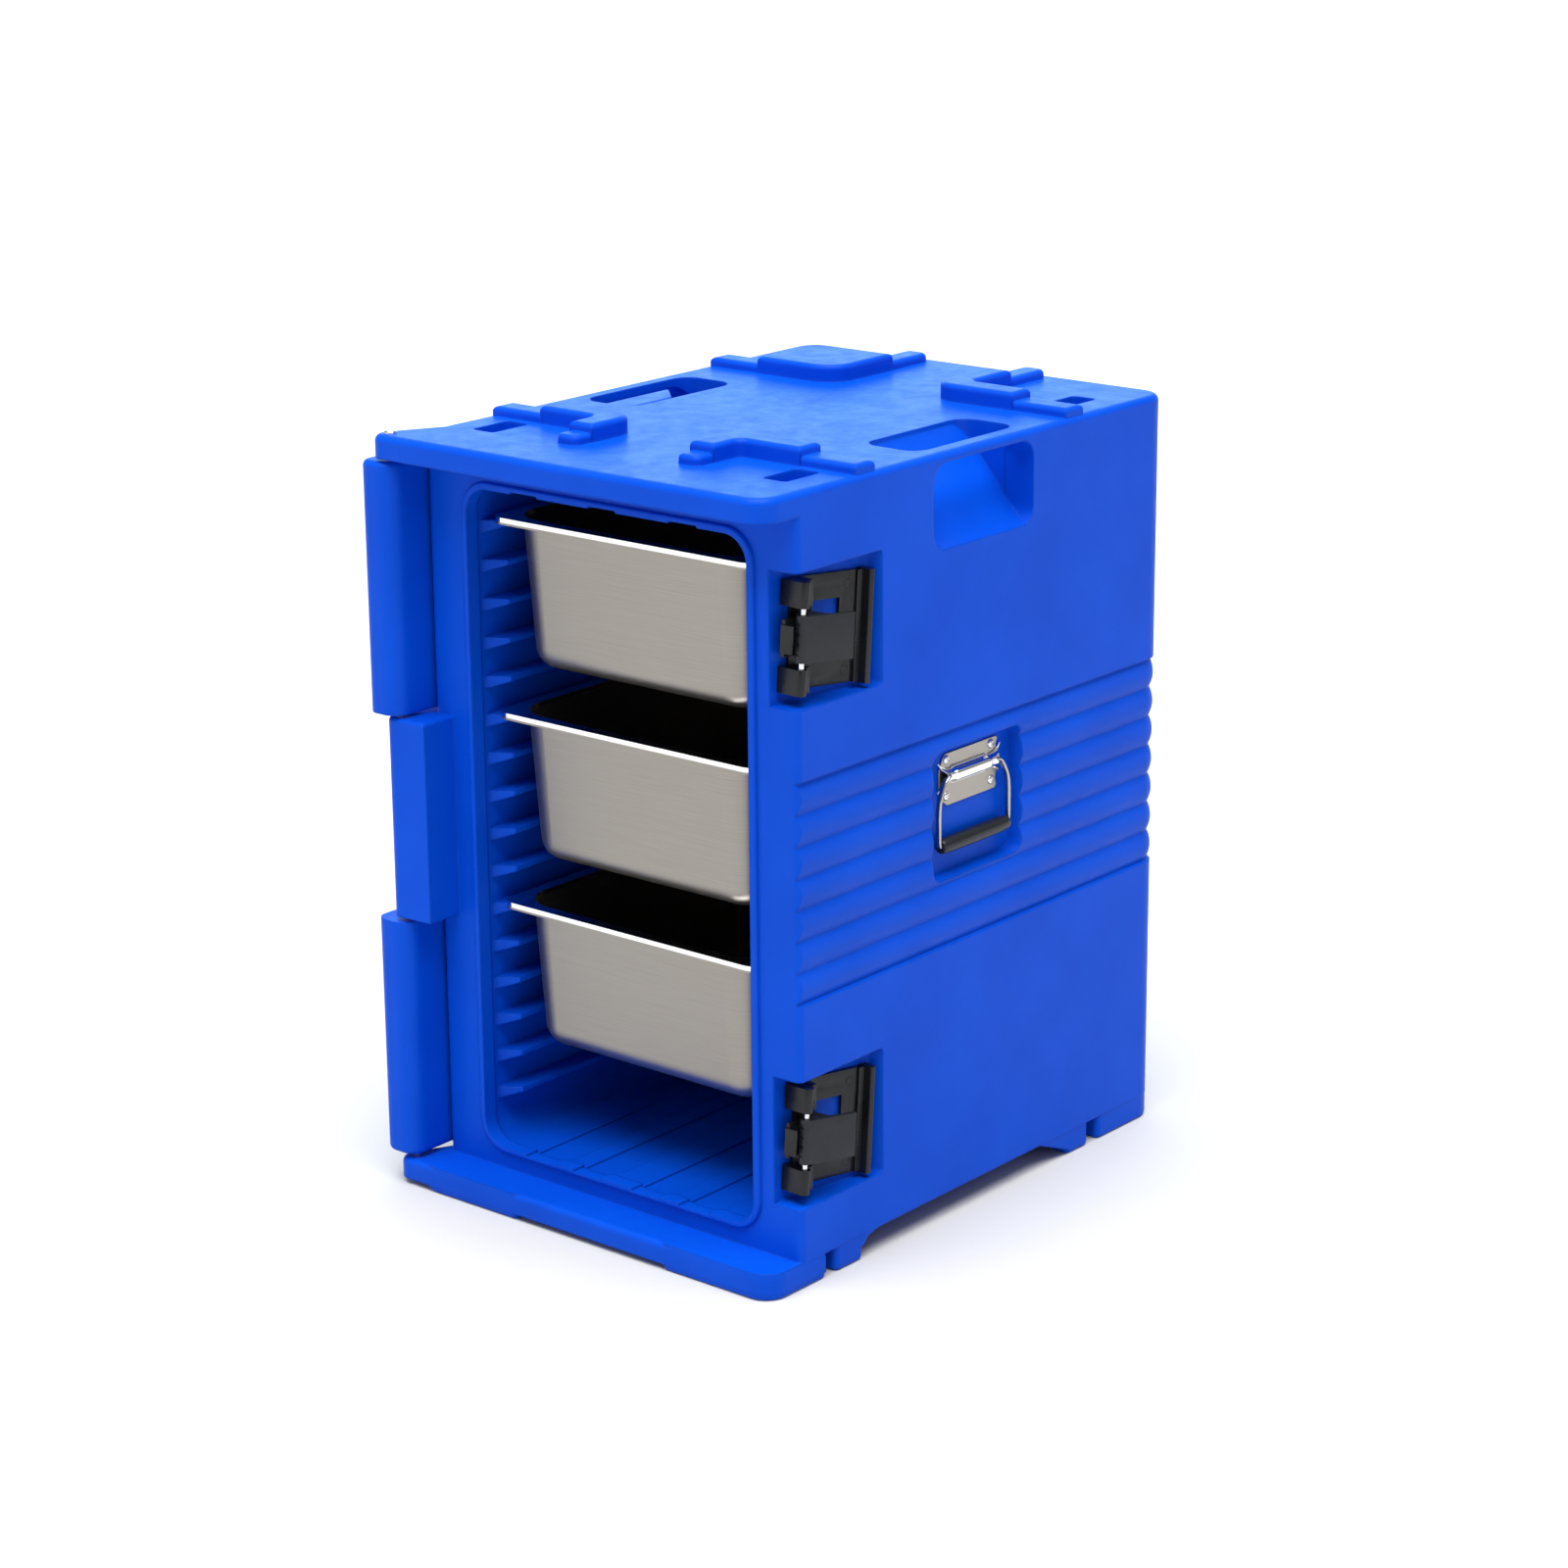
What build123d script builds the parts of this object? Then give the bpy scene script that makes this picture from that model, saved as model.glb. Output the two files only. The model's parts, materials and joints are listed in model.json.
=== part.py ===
"""Front-loading insulated food carrier for three 1/1 size food pans.

A rotomoulded double-wall body with a foam filling, an insulated door that
hangs open against the left side, two over-centre latches let into the right
front corner, a drop handle and a hand-hold on each side, sixteen pairs of pan
rails and three steel pans.

Units are millimetres.  X runs left to right, Y front to back and Z up.  The
feet stand on Z = 0, the opening is centred on X = 0 and the front face of the
body lies on Y = 0.
"""
import os
from math import atan2, cos, degrees, radians, sin

from build123d import *

# ------------------------------------------------------------- body, outside
WIDTH = 455.0            # side to side
DEPTH = 579.0            # front face to back face
TOP_Z = 759.0            # top surface
LIP = 46.0               # the top plate and the sill stand this far in front
PLATE_T = 23.0           # thickness of the top plate's front lip
SILL_LOW = 6.0           # underside of the sill
SILL_Z = 27.0            # top of the sill
BASE_Z = 25.0            # underside of the body between the feet
SKIN = 4.0               # one moulded wall
BACK_R = 26.0            # upright corners at the back
FRONT_R = 7.0            # upright corners of the front face
PLATE_R = 24.0           # right front corner of the top plate and the sill
EDGE_R = 7.0             # rounding round the top

# ------------------------------------------------------ opening, cavity, rails
OPENING_W = 346.0
OPENING_LOW = 49.5
OPENING_HIGH = 712.0
OPENING_R = 26.0
RIM_W = 7.0              # raised rim round the opening
RIM_H = 4.0
CAVITY_STEP = 4.0        # the cavity is this much wider than the opening, per side
CAVITY_BACK = DEPTH - 26.0
RAIL_COUNT = 16
RAIL_TOP = 675.0         # upper face of the top rail
RAIL_PITCH = 38.3
RAIL_REACH = 22.0        # how far a rail stands out of the wall
RAIL_NOSE = 5.0          # thickness at its edge
RAIL_ROOT = 13.0         # thickness at the wall
PAN_RAILS = (0, 5, 10)   # rails that carry a pan, counted from the top

# ------------------------------------------------------------------------ pans
PAN_L, PAN_W, PAN_H = 530.0, 325.0, 150.0
PAN_RIM_R = 15.0         # plan corners of the rim
PAN_HEM = 5.4            # the rim's turned-down edge
PAN_STEEL = 1.2
PAN_FRONT = 16.0         # rim's front edge behind the front face

# --------------------------------------------------------- belt of moulded ribs
RIB_COUNT = 7
RIB_LOW = 280.0
RIB_PITCH = 30.1
RIB_DEPTH = 4.0

# ------------------------------------------------------------- hinge and door
HINGE_X, HINGE_Y = -242.0, -31.0
EAR_R = 15.0             # ears of the top plate and the sill
BOSS_R = 12.0            # middle knuckle of the body
PIN_R = 4.0
RUN = 0.05               # radial running clearance of a pin in a turning part
DOOR_OUT = -43.0         # outside face of the closed door
DOOR_IN = -1.0           # inside face of the closed door
DOOR_LOW, DOOR_HIGH = SILL_Z + 4.0, TOP_Z - PLATE_T - 3.0
DOOR_RIGHT = 226.0
COLUMN = 17.0            # the door reaches this far past the hinge axis
KNUCKLE_LOW, KNUCKLE_HIGH = 280.0, 482.0
KNUCKLE_GAP = 3.0
OPEN_ANGLE = 90.0        # turned this far past straight ahead, flat to the side

# --------------------------------------------------------------------- latches
LATCH_Z = (622.0, 142.0)             # middle height of each latch
LATCH_NAMES = ("upper", "lower")
NOTCH_H = 126.0
FLOOR_A = (195.5, 19.0)              # front end of the notch floor, in plan
FLOOR_B = (214.0, 117.0)             # back end
PIVOT_X, PIVOT_Y = 220.0, 17.0       # lever pivot
LINK_X, LINK_Y = 209.8, 34.5         # link pivot on the lever
LATCH_H = 104.0
LATCH_LEAN = 3.5                     # the latch is turned on the notch floor, degrees
LEVER_H = 43.0
LEVER_L = 52.0
LEVER_ANGLE = 16.5                   # lever to the side of the body, degrees
PIVOT_PIN_R, LINK_PIN_R = 2.5, 2.0
SCREW_R, SCREW_HEAD_R = 2.0, 4.0
BASE_T = 4.0             # side plate of the latch base
SEAT = 2.0               # screw heads sink to this height off the notch floor

# --------------------------------------------------------------------- handles
HANDLE_X, HANDLE_Y, HANDLE_Z = 220.3, 272.0, 444.0    # bail axis
POCKET_DEPTH = 15.5
BAIL_DROP = 67.5
BAIL_R = 3.5
GRIP_R = 8.0
ARM_Y = 57.0             # outer face of a bail arm from the middle
ARM_T = 4.0

# ------------------------------------------------------------------- hand-hold
HOLD_Y0, HOLD_Y1 = 199.0, 354.0
HOLD_X0, HOLD_X1 = 142.0, 208.0      # the well in the top
HOLD_LOW, HOLD_HIGH = 92.0, 9.5      # side window, below the top
HOLD_R = 19.0

# ------------------------------------------------------------------------ feet
FOOT_X = 94.0            # inner end of a corner pad
SIDE_X = 203.0           # inner end of a side runner

W2 = WIDTH / 2
CAV_X = OPENING_W / 2 + CAVITY_STEP
CAV_LOW = OPENING_LOW - CAVITY_STEP
CAV_HIGH = OPENING_HIGH + CAVITY_STEP
RIB_HIGH = RIB_LOW + RIB_COUNT * RIB_PITCH
POCKET_X = W2 - POCKET_DEPTH
FAR = 2000.0             # beyond every part

BLUE = (0.03, 0.25, 0.80)
BLACK = (0.03, 0.03, 0.035)
STEEL = (0.72, 0.72, 0.74)
FOAM = (0.93, 0.86, 0.62)
RUBBER = (0.12, 0.12, 0.13)


# -------------------------------------------------------------------- helpers
def block(x0, x1, y0, y1, z0, z1):
    """An axis-aligned box between two corners."""
    middle = Pos((x0 + x1) / 2, (y0 + y1) / 2, (z0 + z1) / 2)
    return middle * Box(abs(x1 - x0), y1 - y0, z1 - z0)


def prism(points, z0, z1):
    """A straight prism on a plan outline."""
    return Pos(0, 0, z0) * extrude(make_face(Polyline(*points, close=True)), z1 - z0)


def side_prism(points, x0, x1):
    """A straight prism along X on an outline of (y, z) points."""
    outline = Polyline(*[(x0, y, z) for y, z in points], close=True)
    return extrude(make_face(outline), x1 - x0, dir=(1, 0, 0))


def slab(x0, x1, z0, z1, r, y0, y1):
    """A rounded rectangle seen from the front, from y0 back to y1."""
    outline = Pos((x0 + x1) / 2, (z0 + z1) / 2) * RectangleRounded(x1 - x0, z1 - z0, r)
    return Plane.XZ.offset(-y1) * extrude(outline, y1 - y0)


def rod(x, y, z0, z1, r):
    """A round bar along Z."""
    return Pos(x, y, (z0 + z1) / 2) * Cylinder(r, z1 - z0)


def rod_x(x0, x1, y, z, r):
    """A round bar along X."""
    return Pos((x0 + x1) / 2, y, z) * (Rot(0, 90, 0) * Cylinder(r, x1 - x0))


def rod_y(x, y0, y1, z, r):
    """A round bar along Y."""
    return Pos(x, (y0 + y1) / 2, z) * (Rot(90, 0, 0) * Cylinder(r, y1 - y0))


def one(shape):
    """The main solid of a boolean's result."""
    return max(shape.solids(), key=lambda s: s.volume)


def rounded(shape, radius, edges):
    """The shape with some of its edges rounded."""
    return one(shape.fillet(radius, list(edges)))


def upright(shape, *places):
    """The vertical edges of a shape at some places in plan."""
    near = 1.5
    return [e for e in shape.edges().filter_by(Axis.Z)
            if any(abs(e.center().X - x) < near and abs(e.center().Y - y) < near for x, y in places)]


def top_edges(shape):
    return shape.faces().sort_by(Axis.Z)[-1].outer_wire().edges()


def bottom_edges(shape):
    return shape.faces().sort_by(Axis.Z)[0].outer_wire().edges()


def front_edges(shape):
    return shape.faces().sort_by(Axis.Y)[0].outer_wire().edges()


def back_edges(shape):
    return shape.faces().sort_by(Axis.Y)[-1].outer_wire().edges()


def mirrored(shape):
    return mirror(shape, about=Plane.YZ)


def as_is(shape):
    return shape


# ----------------------------------------------------------- body, outer shape
def walls():
    box = block(-W2, W2, 0, DEPTH, BASE_Z, TOP_Z - 6)
    box = rounded(box, BACK_R, upright(box, (-W2, DEPTH), (W2, DEPTH)))
    return rounded(box, FRONT_R, upright(box, (-W2, 0), (W2, 0)))


def hinge_ear(z0, z1):
    """A round ear on the hinge axis with a web back to the plate it grows from."""
    web = prism([(HINGE_X - 3, HINGE_Y - EAR_R + 0.5), (-203, -LIP), (-203, 20), (-W2, 24),
                 (HINGE_X - EAR_R + 4, HINGE_Y + 10)], z0, z1)
    return rod(HINGE_X, HINGE_Y, z0, z1, EAR_R) + web


def top_plate():
    z0 = TOP_Z - PLATE_T
    plate = block(-W2, W2, -LIP, DEPTH, z0, TOP_Z)
    plate = rounded(plate, BACK_R, upright(plate, (-W2, DEPTH), (W2, DEPTH)))
    plate = rounded(plate, PLATE_R, upright(plate, (W2, -LIP)))
    plate = rounded(plate, 8, upright(plate, (-W2, -LIP)))
    plate = one(plate + hinge_ear(z0, TOP_Z))
    return rounded(plate, EDGE_R, top_edges(plate))


def sill():
    shelf = block(-W2, W2, -LIP, 36, SILL_LOW, SILL_Z)
    shelf = rounded(shelf, PLATE_R, upright(shelf, (W2, -LIP)))
    shelf = rounded(shelf, 8, upright(shelf, (-W2, -LIP)))
    shelf = one(shelf + hinge_ear(SILL_LOW, SILL_Z))
    front = [e for e in top_edges(shelf) if e.center().Y < 30]
    return rounded(shelf, 6, front)


def middle_knuckle():
    """The body's knuckle between the two columns of the door."""
    web = prism([(HINGE_X, HINGE_Y - BOSS_R), (-203, -40), (-203, 4), (-221, 4), (-W2, -1),
                 (HINGE_X - 4, HINGE_Y + BOSS_R - 1)], KNUCKLE_LOW, KNUCKLE_HIGH)
    knuckle = one(rod(HINGE_X, HINGE_Y, KNUCKLE_LOW, KNUCKLE_HIGH, BOSS_R) + web)
    return rounded(knuckle, 4, [e for e in top_edges(knuckle) if e.center().Y < -3])


def foot(x0, x1, y0, y1, top, corner):
    """A foot pad with rounded corners and a softened sole; (x, y, r) rounds one corner more."""
    pad = block(x0, x1, y0, y1, 0, top)
    x, y, r = corner
    special = upright(pad, (x, y))
    pad = rounded(pad, r, special)
    rest = [e for e in pad.edges().filter_by(Axis.Z) if e.length > top - 1 and
            min(abs(e.center().X - x0), abs(e.center().X - x1)) < 0.1 and
            min(abs(e.center().Y - y0), abs(e.center().Y - y1)) < 0.1]
    pad = rounded(pad, 6, rest)
    return rounded(pad, 4, bottom_edges(pad))


def feet():
    """Right-hand feet: corner pads, short side runners, a cove and a ramp."""
    x1 = W2 - 0.3
    front = foot(FOOT_X, x1, -LIP + 0.3, 38, SILL_Z, (x1, -LIP + 0.3, PLATE_R - 0.3))
    back = foot(FOOT_X, x1, 477, DEPTH - 0.3, BASE_Z + 4, (x1, DEPTH - 0.3, BACK_R - 0.3))
    runner_front = foot(SIDE_X, x1, 52, 93, BASE_Z + 4, (SIDE_X, 93, 8))
    runner_back = foot(SIDE_X, x1, 424, 461, BASE_Z + 4, (SIDE_X, 424, 8))
    cove = side_prism([(88, 28), (88, 12), (93, 14), (101, 21.5), (121, 25.5), (121, 28)], SIDE_X + 3, x1)
    ramp = side_prism([(376, 28), (376, 25), (426, 5), (432, 5), (432, 28)], SIDE_X + 3, x1)
    return [front, back, runner_front, runner_back, one(cove), one(ramp)]


def opening_rim():
    rim = slab(-OPENING_W / 2 - RIM_W, OPENING_W / 2 + RIM_W, OPENING_LOW - RIM_W + 1,
               OPENING_HIGH + RIM_W, OPENING_R + RIM_W, -RIM_H, 2)
    return rounded(rim, 2, front_edges(rim))


def lug(front):
    """Right-hand stacking lug: an angle on the top, stepped down at both ends."""
    root = TOP_Z - 4
    high_z, low_z = TOP_Z + 17.0, TOP_Z + 9.0
    if front:
        outer, inner, step, end, way = 118, 88, 52, 30, 1
    else:
        outer, inner, step, end, way = 410, 440, 505, DEPTH - 12, -1
    high = prism([(60, step), (60, outer), (160, outer), (160, inner), (89, inner), (89, step)], root, high_z)
    high = rounded(high, 27, upright(high, (60, outer)))
    high = rounded(high, 9, upright(high, (89, inner)))
    low = prism([(61, end), (61, outer - way), (W2 - 4, outer - way), (W2 - 4, inner + way),
                 (88, inner + way), (88, end)], root, low_z)
    low = rounded(low, 27, upright(low, (61, outer - way)))
    low = rounded(low, 9, upright(low, (88, inner + way)))
    low = rounded(low, 8, upright(low, (61, end), (88, end)))
    return one(rounded(high, 5, top_edges(high)) + rounded(low, 5, top_edges(low)))


# ---------------------------------------------------------- body, cavity inside
def cavity():
    opening = slab(-OPENING_W / 2, OPENING_W / 2, OPENING_LOW, OPENING_HIGH, OPENING_R, -20, 30)
    room = slab(-CAV_X, CAV_X, CAV_LOW, CAV_HIGH, OPENING_R + 3, 12, CAVITY_BACK)
    room = rounded(room, 20, back_edges(room))
    hollow = one(opening + room)
    run_back = CAVITY_BACK - 24
    for x0, x1 in ((-118, -80), (-56, -20), (20, 56), (80, 118)):
        hollow += block(x0, x1, -20, run_back, OPENING_LOW - 2.0, OPENING_LOW + 20)
        hollow += block(x0, x1, 10, run_back, CAV_LOW - 1.6, CAV_LOW + 20)
    for x0, x1 in ((-115, -81), (-17, 17), (81, 115)):
        hollow += block(x0, x1, -20, run_back, OPENING_HIGH - 20, OPENING_HIGH + 2.0)
        hollow += block(x0, x1, 10, run_back, CAV_HIGH - 20, CAV_HIGH + 1.6)
    return one(hollow)


def rail_ledge():
    """One right-hand pan rail, its upper face on Z = 0, with a slanted front end."""
    profile = make_face(Polyline((CAV_X + 2, 0), (CAV_X - RAIL_REACH, 0), (CAV_X - RAIL_REACH, -RAIL_NOSE),
                                 (CAV_X, -RAIL_ROOT), (CAV_X + 2, -RAIL_ROOT), close=True))
    back = CAVITY_BACK - 22
    ledge = one(Plane.XZ.offset(-back) * extrude(profile, back - 19))
    tip = CAV_X - RAIL_REACH - 1
    slant = prism([(CAV_X + 5, 12), (CAV_X + 1, 19), (tip, 33), (tip, 0), (CAV_X + 5, 0)], -30, 10)
    return one(ledge - slant)


def hollow_with_rails():
    hollow = cavity()
    ledge = rail_ledge()
    for i in range(RAIL_COUNT):
        down = Pos(0, 0, RAIL_TOP - i * RAIL_PITCH)
        hollow -= down * ledge
        hollow -= down * mirrored(ledge)
    return one(hollow)


# --------------------------------------------------------- cuts in the outside
def rib_profile():
    """Section of the belt at the right-hand wall: a row of shallow arches."""
    root = W2 - RIB_DEPTH
    low, high = RIB_LOW - 1.5, RIB_HIGH + 1.5
    edges = [Line((W2 + 4, low), (W2, low)), Line((W2, low), (root, RIB_LOW))]
    for i in range(RIB_COUNT):
        z = RIB_LOW + i * RIB_PITCH
        edges.append(ThreePointArc((root, z), (W2 - 0.05, z + 0.52 * RIB_PITCH), (root, z + RIB_PITCH)))
    edges += [Line((root, RIB_HIGH), (W2, high)), Line((W2, high), (W2 + 4, high)),
              Line((W2 + 4, high), (W2 + 4, low))]
    return make_face(Curve() + edges)


def belt_of_ribs():
    """The ribs run down the right side, round the back and up the left side."""
    start = -2
    profile = Plane(origin=(0, start, 0), x_dir=(1, 0, 0), z_dir=(0, -1, 0)) * rib_profile()
    z, r = RIB_LOW, BACK_R
    part_way = r * (1 - cos(radians(45)))
    path = Wire([
        Edge.make_line((W2, start, z), (W2, DEPTH - r, z)),
        Edge.make_three_point_arc((W2, DEPTH - r, z), (W2 - part_way, DEPTH - part_way, z), (W2 - r, DEPTH, z)),
        Edge.make_line((W2 - r, DEPTH, z), (-W2 + r, DEPTH, z)),
        Edge.make_three_point_arc((-W2 + r, DEPTH, z), (-W2 + part_way, DEPTH - part_way, z), (-W2, DEPTH - r, z)),
        Edge.make_line((-W2, DEPTH - r, z), (-W2, start, z)),
    ])
    belt = one(sweep(profile, path=path))
    # it stops short of the hinge knuckle
    return one(belt - block(-W2 - 20, -W2 + 12, -10, 14, 0, TOP_Z))


def latch_notch(z):
    """The recess for a latch, open to the front and to the right."""
    notch = prism([(FLOOR_A[0], -8), FLOOR_A, FLOOR_B, (W2, 123), (W2 + 12, 124), (W2 + 12, -8)],
                  z - NOTCH_H / 2, z + NOTCH_H / 2)
    notch = rounded(notch, 5, upright(notch, FLOOR_B))
    inner = [e for e in top_edges(notch) + bottom_edges(notch) if FLOOR_A[1] < e.center().Y < FLOOR_B[1] + 8
             and e.center().X < W2 + 2]
    return rounded(notch, 4, inner)


def handle_pocket():
    y0, y1, z0, z1 = HANDLE_Y - 72, HANDLE_Y + 69, HANDLE_Z - 100, HANDLE_Z + 30
    mouth = Plane(origin=(W2 + 1, (y0 + y1) / 2, (z0 + z1) / 2), x_dir=(0, 1, 0), z_dir=(-1, 0, 0))
    return one(extrude(mouth * RectangleRounded(y1 - y0, z1 - z0, 14), POCKET_DEPTH + 1, taper=14))


def hand_hold():
    """A well in the top that scoops down and out through the side, under a bar to grip."""
    low = TOP_Z - HOLD_LOW
    with BuildSketch(Plane.XZ) as section:
        with BuildLine():
            mouth = Line((W2 + 4, TOP_Z + 2), (HOLD_X0, TOP_Z + 2))
            lead = Line(mouth @ 1, (HOLD_X0, TOP_Z - 4))
            scoop = Spline(lead @ 1, (HOLD_X0 + 18, TOP_Z - 28), (HOLD_X0 + 42, TOP_Z - 56),
                           (HOLD_X1, low + 10), (W2 + 4, low))
            Line(scoop @ 1, mouth @ 0)
        make_face()
    y_mid, width = (HOLD_Y0 + HOLD_Y1) / 2, HOLD_Y1 - HOLD_Y0
    space = one(Pos(0, y_mid, 0) * extrude(section.sketch, width / 2, both=True))
    plan = Pos((HOLD_X0 + HOLD_X1) / 2, y_mid, low) * RectangleRounded(HOLD_X1 - HOLD_X0, width, HOLD_R)
    well = space & extrude(plan, HOLD_LOW + 10)
    high = TOP_Z - HOLD_HIGH
    window = Plane(origin=(HOLD_X1 - 14, y_mid, (low + high) / 2), x_dir=(0, 1, 0), z_dir=(1, 0, 0))
    side = space & extrude(window * RectangleRounded(width, high - low, HOLD_R), 40)
    return one(one(well) + one(side))


def strap_slots():
    y_back = DEPTH - 99
    for x in (-179, 179):
        for y in (53, y_back):
            yield x, y


PORTS = [(-110, 160), (110, 160)]    # filling ports on the back, X and Z
PORT_R = 14.0
PLUG_FIT = 0.05


# ---------------------------------------------------------------- foam filling
def body_foam():
    """The foam fills the double wall wherever there is room between the skins."""
    inset = SKIN + 1
    foam = block(-W2 + inset, W2 - inset, 4.5, DEPTH - SKIN, BASE_Z + SKIN, TOP_Z - PLATE_T)
    foam = rounded(foam, BACK_R - SKIN, foam.edges().filter_by(Axis.Z))
    foam += block(-W2 + 12, W2 - 12, 20, DEPTH - 30, TOP_Z - PLATE_T - 1, TOP_Z - SKIN - 1)
    foam = one(foam)
    lining = SKIN + 2
    foam -= slab(-CAV_X - SKIN, CAV_X + SKIN, CAV_LOW - lining, CAV_HIGH + lining, OPENING_R + 5,
                 -20, CAVITY_BACK + SKIN)
    for z in LATCH_Z:
        foam -= block(FLOOR_A[0] - 6.5, W2 + 12, -8, 130, z - NOTCH_H / 2 - SKIN, z + NOTCH_H / 2 + SKIN)
    for s in (1, -1):
        edge = s * (W2 + 12)
        foam -= block(s * (POCKET_X - SKIN), edge, HANDLE_Y - 78, HANDLE_Y + 75, HANDLE_Z - 104, HANDLE_Z + 36)
        foam -= block(s * (W2 - RIB_DEPTH - inset), edge, -5, DEPTH + 5, RIB_LOW - 6, RIB_HIGH + 6)
        foam -= block(s * (HOLD_X0 - 8), edge, HOLD_Y0 - 8, HOLD_Y1 + 8, TOP_Z - HOLD_LOW - 9, TOP_Z + 2)
    foam -= block(-W2, W2, DEPTH - RIB_DEPTH - inset, DEPTH + 2, RIB_LOW - 6, RIB_HIGH + 6)
    for x, y in strap_slots():
        foam -= block(x - 19, x + 19, y - 30, y + 30, TOP_Z - 22, TOP_Z + 5)
    return one(foam)


def port_plug(x, z):
    shank = rod_y(x, DEPTH - SKIN, DEPTH + 0.5, z, PORT_R - PLUG_FIT)
    cap = rod_y(x, DEPTH, DEPTH + 2.2, z, PORT_R + 4)
    plug = one(shank + cap)
    return rounded(plug, 1.2, back_edges(plug))


def body_shell(hollow, foam):
    shell = one(walls() + top_plate() + sill() + middle_knuckle())
    for piece in feet():
        shell += piece
        shell += mirrored(piece)
    shell = one(one(shell) + opening_rim())
    for front in (True, False):
        right = lug(front)
        shell += right
        shell += mirrored(right)
    shell = one(one(shell) - belt_of_ribs())
    for z in LATCH_Z:
        shell -= latch_notch(z)
    for flip in (as_is, mirrored):
        shell -= flip(handle_pocket())
        shell -= flip(hand_hold())
    for x, y in strap_slots():
        shell -= Pos(x, y, TOP_Z - 17) * extrude(RectangleRounded(28, 50, 5), 20)
    for x, z in PORTS:
        shell -= rod_y(x, DEPTH - SKIN - 1, DEPTH + 1, z, PORT_R)
    shell = one(shell)
    shell -= hollow
    shell -= foam
    return one(one(shell) - rod(HINGE_X, HINGE_Y, -5, TOP_Z + 10, PIN_R + RUN))


def hinge_pin():
    """A straight rod with a domed head on the top ear."""
    head = rod(HINGE_X, HINGE_Y, TOP_Z, TOP_Z + 2.6, 6.2)
    head = rounded(head, 2.2, top_edges(head))
    return rod(HINGE_X, HINGE_Y, SILL_LOW + 2, TOP_Z, PIN_R) + head


# ------------------------------------------------------- door, built as closed
GASKET_IN, GASKET_OUT = 166.0, 187.0     # half widths of the gasket's channel
CHANNEL_FLOOR = -9.0
DOOR_PORT = (20.0, DOOR_HIGH - 60)
DOOR_PORT_R = 12.0
PANEL_SINK = 3.0                         # shallow panel on the outside


def ring(outer, inner, y0, y1):
    """A rounded frame round the opening, between two half widths."""
    grow, shrink = outer - OPENING_W / 2, OPENING_W / 2 - inner
    outside = slab(-outer, outer, OPENING_LOW - grow, OPENING_HIGH + grow, OPENING_R + grow, y0, y1)
    inside = slab(-inner, inner, OPENING_LOW + shrink, OPENING_HIGH - shrink, OPENING_R - shrink / 2, y0 - 1, y1 + 1)
    return one(outside - inside)


def door_blank():
    end = HINGE_X - COLUMN
    door = block(end, DOOR_RIGHT, DOOR_OUT, DOOR_IN, DOOR_LOW, DOOR_HIGH)
    door = rounded(door, 18, upright(door, (DOOR_RIGHT, DOOR_OUT)))
    door = rounded(door, 18, upright(door, (end, DOOR_OUT)))
    door = rounded(door, 14, upright(door, (end, DOOR_IN)))
    door = rounded(door, 6, front_edges(door))
    low, high = KNUCKLE_LOW - KNUCKLE_GAP - 1.5, KNUCKLE_HIGH + KNUCKLE_GAP
    gap_x = -199.0
    door = one(door - block(end - 10, gap_x, DOOR_OUT - 5, DOOR_IN + 5, low, high))
    corners = [e for e in door.edges().filter_by(Axis.Y)
               if abs(e.center().X - gap_x) < 1 and low - 5 < e.center().Z < high + 5]
    return rounded(door, 8, corners)


def door_foam():
    y0, y1 = DOOR_OUT + PANEL_SINK + SKIN, CHANNEL_FLOOR - SKIN
    z0, z1 = DOOR_LOW + SKIN + 1, DOOR_HIGH - SKIN - 1
    foam = block(-190, DOOR_RIGHT - SKIN - 2, y0, y1, z0, z1)
    foam += block(HINGE_X + 14, -189, y0, y1, KNUCKLE_HIGH + 18, z1)
    foam += block(HINGE_X + 14, -189, y0, y1, z0, KNUCKLE_LOW - 18)
    return one(foam)


def door_shell(foam):
    door = door_blank()
    door -= slab(-180, 190, DOOR_LOW + 39, DOOR_HIGH - 39, 30, DOOR_OUT - 2, DOOR_OUT + PANEL_SINK)
    door -= ring(GASKET_OUT, GASKET_IN, CHANNEL_FLOOR, DOOR_IN + 1)
    door -= rod_y(DOOR_PORT[0], DOOR_OUT - 1, DOOR_OUT + 8, DOOR_PORT[1], DOOR_PORT_R)
    for z in LATCH_Z:
        door -= block(KEEPER_X0 - 0.5, KEEPER_X1 + 0.5, KEEPER_SEAT, 0, z - 20.5, z + 20.5)
        for dz in (-KEEPER_SCREW_Z, KEEPER_SCREW_Z):
            door -= rod_y(KEEPER_SCREW_X, -12, 0, z + dz, 1.9)
    return one(one(one(door) - foam) - rod(HINGE_X, HINGE_Y, 0, TOP_Z, PIN_R + RUN))


def door_gasket():
    seal = ring(GASKET_OUT - 1, GASKET_IN + 1, CHANNEL_FLOOR, -RIM_H - 0.4)
    return rounded(seal, 1.5, seal.faces().sort_by(Axis.Y)[-1].edges())


def door_port_cap():
    face = DOOR_OUT + PANEL_SINK
    x, z = DOOR_PORT
    return rod_y(x, face - 1.8, face, z, DOOR_PORT_R + 4) + rod_y(x, face - 1, face + 4, z, DOOR_PORT_R - PLUG_FIT)


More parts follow.
